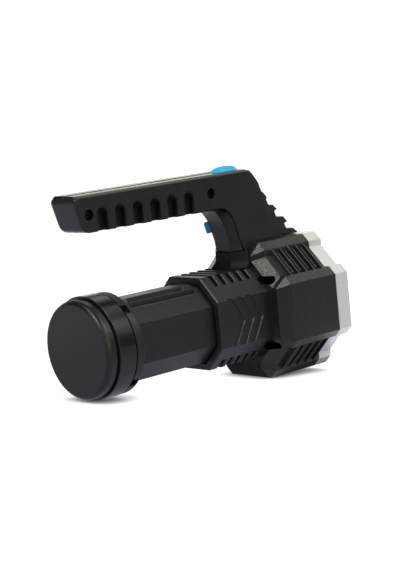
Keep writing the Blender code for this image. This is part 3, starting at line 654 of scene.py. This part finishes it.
def offset_poly(pts, dist):
    """Inset a closed outline, by one distance or one for each point."""
    n = len(pts)
    area = sum(pts[i][0] * pts[(i + 1) % n][1] - pts[(i + 1) % n][0] * pts[i][1] for i in range(n))
    sgn = 1.0 if area > 0 else -1.0
    out = []
    for i in range(n):
        k = dist[i] if isinstance(dist, list) else dist
        p0, p1, p2 = Vector(pts[i - 1]), Vector(pts[i]), Vector(pts[(i + 1) % n])
        e1, e2 = (p1 - p0).normalized(), (p2 - p1).normalized()
        n1, n2 = Vector((-e1.y, e1.x)) * sgn, Vector((-e2.y, e2.x)) * sgn
        b = n1 + n2
        b = b / max(b.length_squared, 0.3) * 2.0
        out.append((p1.x + b.x * k, p1.y + b.y * k))
    return out


def shell_outline():
    """Side outline of the grip with an edge radius for every point."""
    curve = spline([(102.0, GRIP_BOTTOM), (106.8, 62.05), (109.9, 60.9), (112.4, 58.9), (114.3, 56.4),
                    (115.6, 53.3), (116.5, 50.0), (118.6, 42.7), (120.6, 37.6), (122.3, 34.6)], 3)
    pts, rad = [], []

    def put(seq, r):
        for p in seq:
            if not pts or (Vector(p) - Vector(pts[-1])).length > 0.02:
                pts.append(tuple(p))
                rad.append(r)

    put([(60.0, GRIP_BOTTOM)], 1.5)
    for x, z in curve:
        put([(x, z)], 0.5 + 1.5 * max(0.0, min(1.0, (z - 37.5) / 9.0)))
    put([(127.1, 39.9), (151.3, 39.9)], 0.15)
    put([(141.0, 60.4)], 0.9)
    put(fillet([(141.0, 60.4), (131.0, 79.9), (129.5, GRIP_TOP), (90.0, GRIP_TOP)],
               [0, 1.6, 1.6, 0], 3)[1:-1], 0.6)
    put([(90.0, GRIP_TOP), (60.0, GRIP_TOP), (30.0, GRIP_TOP), (10.0, GRIP_TOP)], 0.6)
    for k, p in enumerate(fillet([(10.0, GRIP_TOP), (0.8, GRIP_TOP), (6.5, GRIP_BOTTOM)],
                                 [0, 2.4, 0], 6)[1:-1]):
        put([p], 0.7 + 0.17 * k)
    put(fillet([(2.4, 76.3), (6.3, GRIP_BOTTOM), (22.0, GRIP_BOTTOM)], [0, 6.5, 0], 8)[1:-1], 1.7)
    put([(30.0, GRIP_BOTTOM)], 1.5)
    return pts, rad


def make_grip():
    pts, rad = shell_outline()
    top = [z > GRIP_TOP - 2.2 and x < 131.0 for x, z in pts]
    well = ellipse(10.6, 5.55, 64, BX, 0.0)
    for nm, side, node in (("grip_right", -1, "handle_right"), ("grip_left", 1, "handle_left")):
        rings = []
        step = 0.14 * side      # the left half stands a little proud along the top seam

        def ring(yf, inset, lift):
            q = offset_poly(pts, inset) if inset else pts
            out = []
            for (x, z), (x0, z0), t, r in zip(q, pts, top, rad):
                w = max(min((z0 - (GRIP_TOP - 2.2)) / 2.2, 1.0), 0.0) if t else 0.0
                out.append((x, side * yf(x0, r), z + lift * w))
            rings.append(out)

        ring(lambda x, r: (-0.3 if side < 0 else 0.005) if x < 7.0 else 0.05,
             [(0.0 if side < 0 else 0.02) if x < 7.0 and z < 81.3 else 0.45 if z > 81.0 else 0.25
              for x, z in pts], 1.6 + step)
        ring(lambda x, r: 0.30, None, 1.6 + step)
        for f, lift in ((0.3, 1.58), (0.5, 1.54), (0.66, 1.48), (0.765, 1.41), (0.80, 1.33)):
            ring(lambda x, r, f=f: half_width(x) * f, None, (lift if side < 0 else 1.6) + step)
        steps = 5
        for k in range(steps + 1):
            a = math.pi / 2 * k / steps
            ring(lambda x, r, a=a: half_width(x) - r + r * math.sin(a),
                 [r * (1 - math.cos(a)) for r in rad], 0.45 - 0.1 * k / steps)
        sh = loft(nm, rings)
        for k in range(NOTCH_N):
            x0 = NOTCH_X0 + NOTCH_PITCH * k
            x1 = x0 + NOTCH_W
            xm, hw = (x0 + x1) / 2, half_width(x0)

            def arch(y, top_, spring, w=0.0):
                r_ = [(x0 - w, y, 58.0), (x1 + w, y, 58.0)]
                for i in range(17):
                    t = math.pi * i / 16
                    r_.append((xm + (x1 - xm + w) * math.cos(t), y,
                               spring + (top_ - spring) * math.sin(t)))
                return r_
            boolean(sh, loft("t", [arch(side * (hw + 1.0), 75.8, 71.9, 0.7),
                                   arch(side * hw, 75.75, 71.9, 0.65),
                                   arch(side * (hw - 0.1), 75.4, 71.9, 0.32),
                                   arch(side * (hw - 0.27), 75.15, 71.9, 0.13),
                                   arch(side * (hw - 0.65), 74.8, 71.9),
                                   arch(side * (hw - 3.4), 72.4, 71.9),
                                   arch(side * (hw - 4.6), 71.95, 71.8)]))
        boolean(sh, loft("t", [[(x, y, 70.0) for x, y in well], [(x, y, 86.0) for x, y in well]]))
        hollow = [(106.5, 66.5), (111.5, 63.8), (115.5, 59.5), (118.2, 53.5), (121.5, 44.5),
                  (125.0, 43.0), (134.0, 43.0), (134.0, 38.0), (141.0, 38.0), (141.0, 50.0),
                  (128.0, 73.0), (106.5, 73.0)]
        boolean(sh, prism_y("t", hollow, -7.6, 7.6))
        for hx, hz in ((10.6, 72.0), (98.8, 72.2)):
            hw = half_width(hx)
            if side < 0:
                tool = revolve("t", [(0, 0), (0, 1.4), (20, 1.4), (20, 3.0), (30, 3.0), (30, 0)], 48)
                tool.data.transform(Matrix.Translation((hx * MM, (-hw + 24.2) * MM, hz * MM))
                                    @ Matrix.Rotation(-math.pi / 2, 4, "Z"))
                boolean(sh, tool)
        if side > 0:        # room behind the side button for its travel
            boolean(sh, facet_block("t", 3.5, 2.1, [(-3.1, 0), (1.6, 0)], 0.5))
        soften(sh, width=0.2, seg=2, angle=34, dissolve=0.3)
        place(sh, "lamp", [node], M_GRIP)


# -------------------------------------------------------- strut liner, plinth, spine
FACE = [(103.6, 61.8), (105.9, 60.1), (108.4, 57.0), (110.2, 54.0), (111.4, 50.9), (112.4, 47.1),
        (113.6, 43.4), (114.2, 39.8), (114.4, 36.4)]
EDGE = [(105.4, 61.8), (109.1, 60.75), (112.1, 58.6), (114.1, 55.6), (115.5, 51.9), (116.4, 47.9),
        (117.9, 43.4), (119.2, 39.8), (120.3, 36.4)]
A0, A1 = Vector((110.2, 6.25, 54.0)), Vector((112.4, 6.25, 47.1))
B0, B1 = Vector((114.1, 9.9, 55.6)), Vector((116.4, 9.9, 47.9))
FC = (A0 + A1 + B0 + B1) / 4
ALONG = ((A1 - A0) + (B1 - B0)).normalized()
ACROSS = ((B0 - A0) + (B1 - A1)).normalized()
NORMAL = ALONG.cross(ACROSS).normalized()
if NORMAL.x > 0:
    NORMAL = -NORMAL
ACROSS = NORMAL.cross(ALONG).normalized()


def facet_block(name, la, lc, levels, corner=0.0):
    """Block standing on the strut's left facet; levels are (height, inset)."""
    rings = []
    for n_, inset in levels:
        a, c = la - inset, lc - inset
        pts = [(-a, -c), (a, -c), (a, c), (-a, c)]
        if corner:
            pts = fillet(pts, max(corner - inset * 0.5, 0.15), 4)
        rings.append([tuple(FC + ALONG * u + ACROSS * v + NORMAL * n_) for u, v in pts])
    return loft(name, rings)


def make_strut():
    face, edge = spline(FACE, 4), spline(EDGE, 4)
    liner = loft("strut_liner", [[(fx, -6.25, fz), (ex, -10.6, ez), (ex, 10.6, ez), (fx, 6.25, fz)]
                                 for (fx, fz), (ex, ez) in zip(face, edge)])
    boolean(liner, facet_block("t", 3.5, 2.1, [(-2.55, 0), (3.0, 0)], 0.5))
    soften(liner, width=0.35, seg=3, angle=24, dissolve=0)
    place(liner, "lamp", ["handle_liner"], M_LINER)
    plinth = loft("plinth", [[(xr, -h, z), (xr + (w - h), -w, z), (121.2, -w, z), (121.2, w, z),
                              (xr + (w - h), w, z), (xr, h, z)]
                             for xr, h, w, z in ((111.0, 8.6, 14.2, 26.8), (111.9, 7.8, 14.1, 27.8),
                                                 (112.9, 6.9, 14.0, 29.4), (113.5, 6.4, 13.9, 31.5),
                                                 (113.6, 6.3, 13.8, 36.1))])
    soften(plinth, width=0.4, seg=3, angle=24, dissolve=0)
    place(plinth, "lamp", ["strut_plinth"], M_PLINTH_PAINTED_SHADE)
    outline = [(151.75, 40.35), (141.45, 60.5), (131.35, 80.3), (130.95, 81.5), (132.0, 81.9),
               (132.9, 81.4), (134.9, 79.2), (137.1, 76.5), (139.0, 73.8), (139.9, 71.2),
               (140.9, 68.5), (142.9, 66.9), (145.0, 64.4), (144.2, 63.1), (145.8, 59.8),
               (149.2, 59.4), (152.4, 56.4), (150.0, 55.5), (151.4, 51.9), (156.9, 51.5),
               (160.1, 48.1), (157.4, 47.2), (158.9, 43.9), (164.3, 43.6), (168.5, 40.5),
               (164.2, 40.35)]
    rr = [0.3, 0.3, 0.3, 0.3, 0.5, 1.0, 2.0, 2.0, 2.0, 1.5, 0.8, 1.2, 0.35, 0.5, 0.9, 1.0, 0.35,
          0.5, 0.9, 1.0, 0.35, 0.5, 0.9, 1.0, 0.35, 0.3]
    soft = fillet(outline, rr, 3)
    inner = offset_poly(outline, 0.5)
    inner = fillet(inner, rr, 3)
    spine = loft("spine_teeth", [[(x, -9.3, z) for x, z in inner], [(x, -8.8, z) for x, z in soft],
                                 [(x, 8.8, z) for x, z in soft], [(x, 9.3, z) for x, z in inner]])
    soften(spine, width=0.0, dissolve=0, sharp=38)
    place(spine, "lamp", ["strut_spine"], M_SPINE)


# ------------------------------------------------------------------------ controls
def make_controls():
    rows = [(10.2, 5.15, 76.2, 0.0), (10.2, 5.15, 82.5, 0.0), (10.15, 5.1, 82.9, 0.0),
            (9.95, 4.9, 83.25, 0.05), (9.6, 4.65, 83.42, 0.2), (9.15, 4.45, 83.5, 0.55)]
    for k in range(1, 13):
        t = math.pi / 2 * k / 12.6
        rows.append((9.0 * math.cos(t), 4.35 * math.cos(t), 83.5 + 2.2 * math.sin(t), 0.7))
    btn = loft("button_top", [[(x, y, z) for x, y in ellipse(a, b, 72, BX + dx)]
                              for a, b, z, dx in rows])
    soften(btn, width=0, dissolve=0, sharp=75)
    place(btn, "top_button", ["main_button"], M_BLUE, origin=(BX, 0.0, 76.2))
    side = facet_block("button_side", 3.25, 1.85,
                       [(-1.4, 0), (2.3, 0), (2.62, 0.08), (2.88, 0.28), (3.04, 0.58), (3.1, 1.0)],
                       0.8)
    soften(side, width=0, dissolve=0, sharp=75)
    place(side, "trigger", ["side_button"], M_BLUE, origin=tuple(FC))


# -------------------------------------------------------------- lens and light engine
def make_optics():
    m_lens = simple("lens_clear", (0.96, 0.985, 1.0), 0.05, trans=1.0, ior=1.49, scale=200.0,
                    bump=0.01, vary=0.01)
    lens = revolve("lens_disc", fillet([(169.1, 0), (169.1, 31.2), (171.4, 31.2), (171.4, 0)],
                                       [0, 0.4, 0.4, 0], 4), 128)
    soften(lens, width=0, dissolve=0, sharp=50)
    place(lens, "lamp", ["lens"], m_lens)
    m_mirror = simple("vacuum_mirror", (0.86, 0.87, 0.88), 0.10, metal=1.0, scale=120.0, bump=0.02,
                      vary=0.02)
    ref = revolve("reflector_plate", [(142.3, 0), (142.3, 27.0), (146.0, 31.0), (167.7, 31.0),
                                      (167.7, 0)], 96)
    for cy, cz, cr in CUPS:
        prof = [(141.0, 0), (141.0, 3.6), (143.0, 3.6)]
        for i in range(1, 15):
            t = i / 14
            prof.append((143.0 + 24.7 * t, 3.6 + (cr - 3.6) * math.sqrt(t)))
        prof += [(169.0, cr + 0.02), (169.0, 0)]
        boolean(ref, revolve("t", prof, 64, centre=(cy, cz)))
    soften(ref, width=0.25, seg=2, angle=40, dissolve=0, sharp=50)
    place(ref, "lamp", ["reflector"], m_mirror)
    m_phos = simple("phosphor", (0.92, 0.74, 0.14), 0.45, scale=2500.0, bump=0.1, vary=0.06)
    names = ["emitter_centre", "emitter_top", "emitter_bottom", "emitter_left", "emitter_right"]
    for nm, (cy, cz, cr) in zip(names, CUPS):
        sq = fillet([(cy - 2.5, cz - 2.5), (cy + 2.5, cz - 2.5), (cy + 2.5, cz + 2.5),
                     (cy - 2.5, cz + 2.5)], 0.3, 3)
        chip = prism_x("chip_" + nm[8:], sq, 140.2, 140.9)
        dome = [(140.6, 0.0), (140.6, 1.9)]
        for i in range(7):
            t = math.pi / 2 * i / 6
            dome.append((140.9 + 1.0 * math.sin(t), 1.75 * math.cos(t)))
        dome[-1] = (141.9, 0.0)
        boolean(chip, revolve("t", dome, 32, centre=(cy, cz)), "UNION")
        soften(chip, width=0.06, seg=2, angle=40, sharp=50)
        place(chip, "lamp", [nm], m_phos)


# ------------------------------------------------------- pieces kept from the frame
def dress(name, mat):
    ob = frame["nodes"][name]
    ob.data.materials.clear()
    ob.data.materials.append(mat)


def dress_frame():
    steel = simple("zinc_steel", (0.42, 0.42, 0.43), 0.32, metal=1.0, scale=900.0, bump=0.15)
    brass = simple("plated_brass", (0.72, 0.56, 0.24), 0.26, metal=1.0, scale=500.0)
    alu = simple("turned_aluminium", (0.66, 0.67, 0.68), 0.34, metal=1.0, scale=60.0,
                 aniso=(20.0, 1.0, 1.0))
    rubber = simple("seal_rubber", (0.018, 0.018, 0.018), 0.7, scale=1800.0, bump=0.3)
    green = simple("board_mask", (0.02, 0.14, 0.06), 0.32, scale=400.0, coat=0.3)
    white = simple("white_mask", (0.78, 0.78, 0.76), 0.4, scale=400.0, coat=0.2, vary=0.03)
    sleeve = simple("cell_sleeve", (0.05, 0.22, 0.13), 0.28, scale=160.0, coat=0.4, bump=0.05)
    cradle = moulded("cradle_moulding", (0.016, 0.016, 0.017), rough=0.5)
    # Near-black steel for the screws: painted shade, so their deep pockets read dark without glints.
    pocket_shade_steel = simple("near_black_steel_painted_shade", (0.03, 0.03, 0.032), 0.42, metal=1.0, scale=900.0, bump=0.2)
    for k in range(4):
        dress("head_screw_%d" % (k + 1), pocket_shade_steel)
    for nm, mt in (("handle_screw_front", pocket_shade_steel), ("handle_screw_rear", pocket_shade_steel),
                   ("tail_contact_spring", steel), ("tail_contact_plate", brass),
                   ("heat_sink", alu), ("lens_gasket", rubber), ("tail_seal_ring", rubber),
                   ("driver_board", green), ("front_contact_board", green), ("led_board", white),
                   ("main_switch", white), ("cell_left", sleeve), ("cell_right", sleeve),
                   ("cell_cradle", cradle)):
        dress(nm, mt)


# --------------------------------------------------------------------- camera, stage
# Camera in the lamp's frame: right, up and back axes and the eye point, millimetres.
EYE = Vector((-490.49, -648.82, 141.82))
RIGHT = Vector((0.7304227, -0.6758517, -0.0985246))
UP = Vector((0.1656862, 0.0353933, 0.9855432))
BACK = Vector((-0.6625939, -0.7361873, 0.1378314))


def make_camera():
    cam = bpy.data.cameras.new("camera")
    cam.lens = 97.116
    cam.sensor_width = 36.0
    cam.clip_start, cam.clip_end = 0.05, 50.0
    ob = bpy.data.objects.new("camera", cam)
    SCENE.collection.objects.link(ob)
    m = Matrix((RIGHT, UP, BACK)).transposed().to_4x4()
    m.translation = EYE * MM
    ob.matrix_world = REST @ m
    SCENE.camera = ob


def make_floor():
    """Pale floor: bright everywhere, with a painted soft shadow where the lamp is near it."""
    me = bpy.data.meshes.new("floor")
    s = 6.0
    me.from_pydata([(-s, -s, 0), (s, -s, 0), (s, s, 0), (-s, s, 0)], [], [(0, 1, 2, 3)])
    ob = bpy.data.objects.new("floor", me)
    SCENE.collection.objects.link(ob)
    mat = bpy.data.materials.new("floor_white")
    mat.use_nodes = True
    t = mat.node_tree
    t.nodes.clear()
    em = t.nodes.new("ShaderNodeEmission")
    em.inputs[0].default_value = (1, 1, 1, 1)
    # The sheet glows evenly far away; near the lamp its glow is cut by ambient occlusion at contacts, a
    # painted contact shadow.
    ao = t.nodes.new("ShaderNodeAmbientOcclusion")
    ao.samples = 8
    ao.inputs["Distance"].default_value = 0.010
    shade = t.nodes.new("ShaderNodeMapRange")
    for name, v in (("From Min", 0.0), ("From Max", 0.9), ("To Min", 0.05), ("To Max", FLOOR_GLOW)):
        shade.inputs[name].default_value = v
    t.links.new(ao.outputs["AO"], shade.inputs["Value"])
    t.links.new(shade.outputs["Result"], em.inputs[1])
    df = t.nodes.new("ShaderNodeBsdfDiffuse")
    df.inputs[0].default_value = (FLOOR_ALBEDO, FLOOR_ALBEDO, FLOOR_ALBEDO, 1)
    ad = t.nodes.new("ShaderNodeAddShader")
    out = t.nodes.new("ShaderNodeOutputMaterial")
    t.links.new(em.outputs[0], ad.inputs[0])
    t.links.new(df.outputs[0], ad.inputs[1])
    t.links.new(ad.outputs[0], out.inputs[0])
    me.materials.append(mat)
    for ray in ("diffuse", "glossy", "transmission", "shadow"):
        setattr(ob, "visible_" + ray, False)
    return ob


# Softboxes on a 1.5 m dome round the lamp: azimuth and elevation of the centre,
# width and height in degrees, radiance, tint.
WARM = (1.0, 0.985, 0.90)
COOL = (0.96, 0.95, 1.0)
LILAC = (0.86, 0.82, 1.0)
DOME = 1.5
CARDS = (
    ("key", 192, 43, 25, 27, 11.8, WARM),
    ("key_side", 167, 50, 25, 16, 0.9, WARM),
    ("left_low", 195, 5, 30, 14, 0.85, WARM),
    ("near_low", 262, 8, 45, 20, 1.27, WARM),
    ("near_mid", 261, 28, 54, 20, 0.87, WARM),
    ("near_high", 283, 47, 50, 18, 5.4, WARM),
    ("right_low", 330, 14, 30, 16, 0.57, WARM),
    ("right_mid", 318, 35, 56, 24, 0.77, WARM),
    ("front", 9, 26, 19, 17, 3.2, WARM),
    ("front_high", 39, 45, 76, 20, 0.95, WARM),
    ("far_low", 50, 2, 50, 8, 1.4, WARM),
    ("far_up", 50, 13, 50, 14, 1.6, WARM),
    ("far_left", 100, 8, 44, 20, 0.5, WARM),
    ("top_near", 340, 64, 120, 16, 0.8, WARM),
    ("top_far", 158, 64, 50, 16, 2.6, WARM),
)
# Bounce off the floor: inner and outer radius in metres, azimuths, radiance.
BOUNCE = (
    ("under_tube", 0.0, 0.11, 90, 200, 0.5, LILAC),
    ("near_in", 0.0, 0.11, 200, 342, 0.60, LILAC),
    ("under_head", 0.0, 0.11, -18, 90, 0.09, COOL),
    ("ring_tail", 0.11, 0.22, 90, 210, 0.5, LILAC),
    ("ring_near", 0.11, 0.22, 210, 330, 0.4, LILAC),
    ("ring_far", 0.11, 0.22, -30, 90, 1.8, COOL),
    ("mid_tail", 0.22, 0.5, 90, 180, 0.68, LILAC),
    ("mid_left", 0.22, 0.5, 180, 270, 0.4, COOL),
    ("mid_near", 0.22, 0.5, 270, 360, 0.4, LILAC),
    ("mid_far", 0.22, 0.5, 0, 90, 1.5, COOL),
    ("wide_tail", 0.5, 1.45, 90, 180, 0.55, COOL),
    ("wide_near", 0.5, 1.45, 270, 330, 0.8, COOL),
    ("wide_far", 0.5, 1.45, -30, 90, 0.3, COOL),
)
FLOOR_GLOW = 1.03
FLOOR_ALBEDO = 0.22


def card(name, az, el, wide, high, radiance, tint):
    w = math.radians(wide) * math.cos(math.radians(el)) * DOME
    h = math.radians(high) * DOME
    lt = bpy.data.lights.new(name, "AREA")
    lt.shape = "RECTANGLE"
    lt.size, lt.size_y = w, h
    lt.energy = radiance * math.pi * w * h
    lt.color = tint
    ob = bpy.data.objects.new(name, lt)
    SCENE.collection.objects.link(ob)
    a, e = math.radians(az), math.radians(el)
    d = Vector((math.cos(a) * math.cos(e), math.sin(a) * math.cos(e), math.sin(e)))
    ob.location = Vector((0.0, 0.0, 0.055)) + d * DOME
    ob.rotation_euler = d.to_track_quat("Z", "Y").to_euler()
    ob.visible_camera = False
    return ob


def bounce(name, r0, r1, a0, a1, radiance, tint):
    n = max(6, int((a1 - a0) / 6))
    verts, faces = [], []
    for i in range(n + 1):
        a = math.radians(a0 + (a1 - a0) * i / n)
        for r in (r0, r1):
            verts.append((r * math.cos(a), r * math.sin(a), -0.0008))
    for i in range(n):
        faces.append((2 * i, 2 * i + 1, 2 * i + 3, 2 * i + 2))
    me = bpy.data.meshes.new(name)
    me.from_pydata(verts, [], faces)
    mat = bpy.data.materials.new(name)
    mat.use_nodes = True
    t = mat.node_tree
    t.nodes.clear()
    em = t.nodes.new("ShaderNodeEmission")
    em.inputs[0].default_value = tint + (1.0,)
    em.inputs[1].default_value = radiance
    out = t.nodes.new("ShaderNodeOutputMaterial")
    t.links.new(em.outputs[0], out.inputs[0])
    me.materials.append(mat)
    ob = bpy.data.objects.new(name, me)
    SCENE.collection.objects.link(ob)
    ob.visible_camera = False
    return ob


def make_light():
    w = bpy.data.worlds.new("studio")
    SCENE.world = w
    w.use_nodes = True
    t = w.node_tree
    bg = t.nodes["Background"]
    bg.inputs[0].default_value = (1, 1, 1, 1)
    bg.inputs[1].default_value = 0.03
    cam_bg = t.nodes.new("ShaderNodeBackground")
    cam_bg.inputs[0].default_value = (1, 1, 1, 1)
    cam_bg.inputs[1].default_value = 1.2
    lp = t.nodes.new("ShaderNodeLightPath")
    mx = t.nodes.new("ShaderNodeMixShader")
    t.links.new(lp.outputs["Is Camera Ray"], mx.inputs[0])
    t.links.new(bg.outputs[0], mx.inputs[1])
    t.links.new(cam_bg.outputs[0], mx.inputs[2])
    t.links.new(mx.outputs[0], t.nodes["World Output"].inputs[0])
    for row in CARDS:
        card(*row)
    for row in BOUNCE:
        bounce(*row)
    SCENE.view_settings.view_transform = "Standard"


make_camera()
make_tail()
make_tube()
make_collar()
make_head()
make_bezel()
make_grip()
make_strut()
make_controls()
make_optics()
dress_frame()
make_floor()
make_light()

bpy.context.view_layer.update()
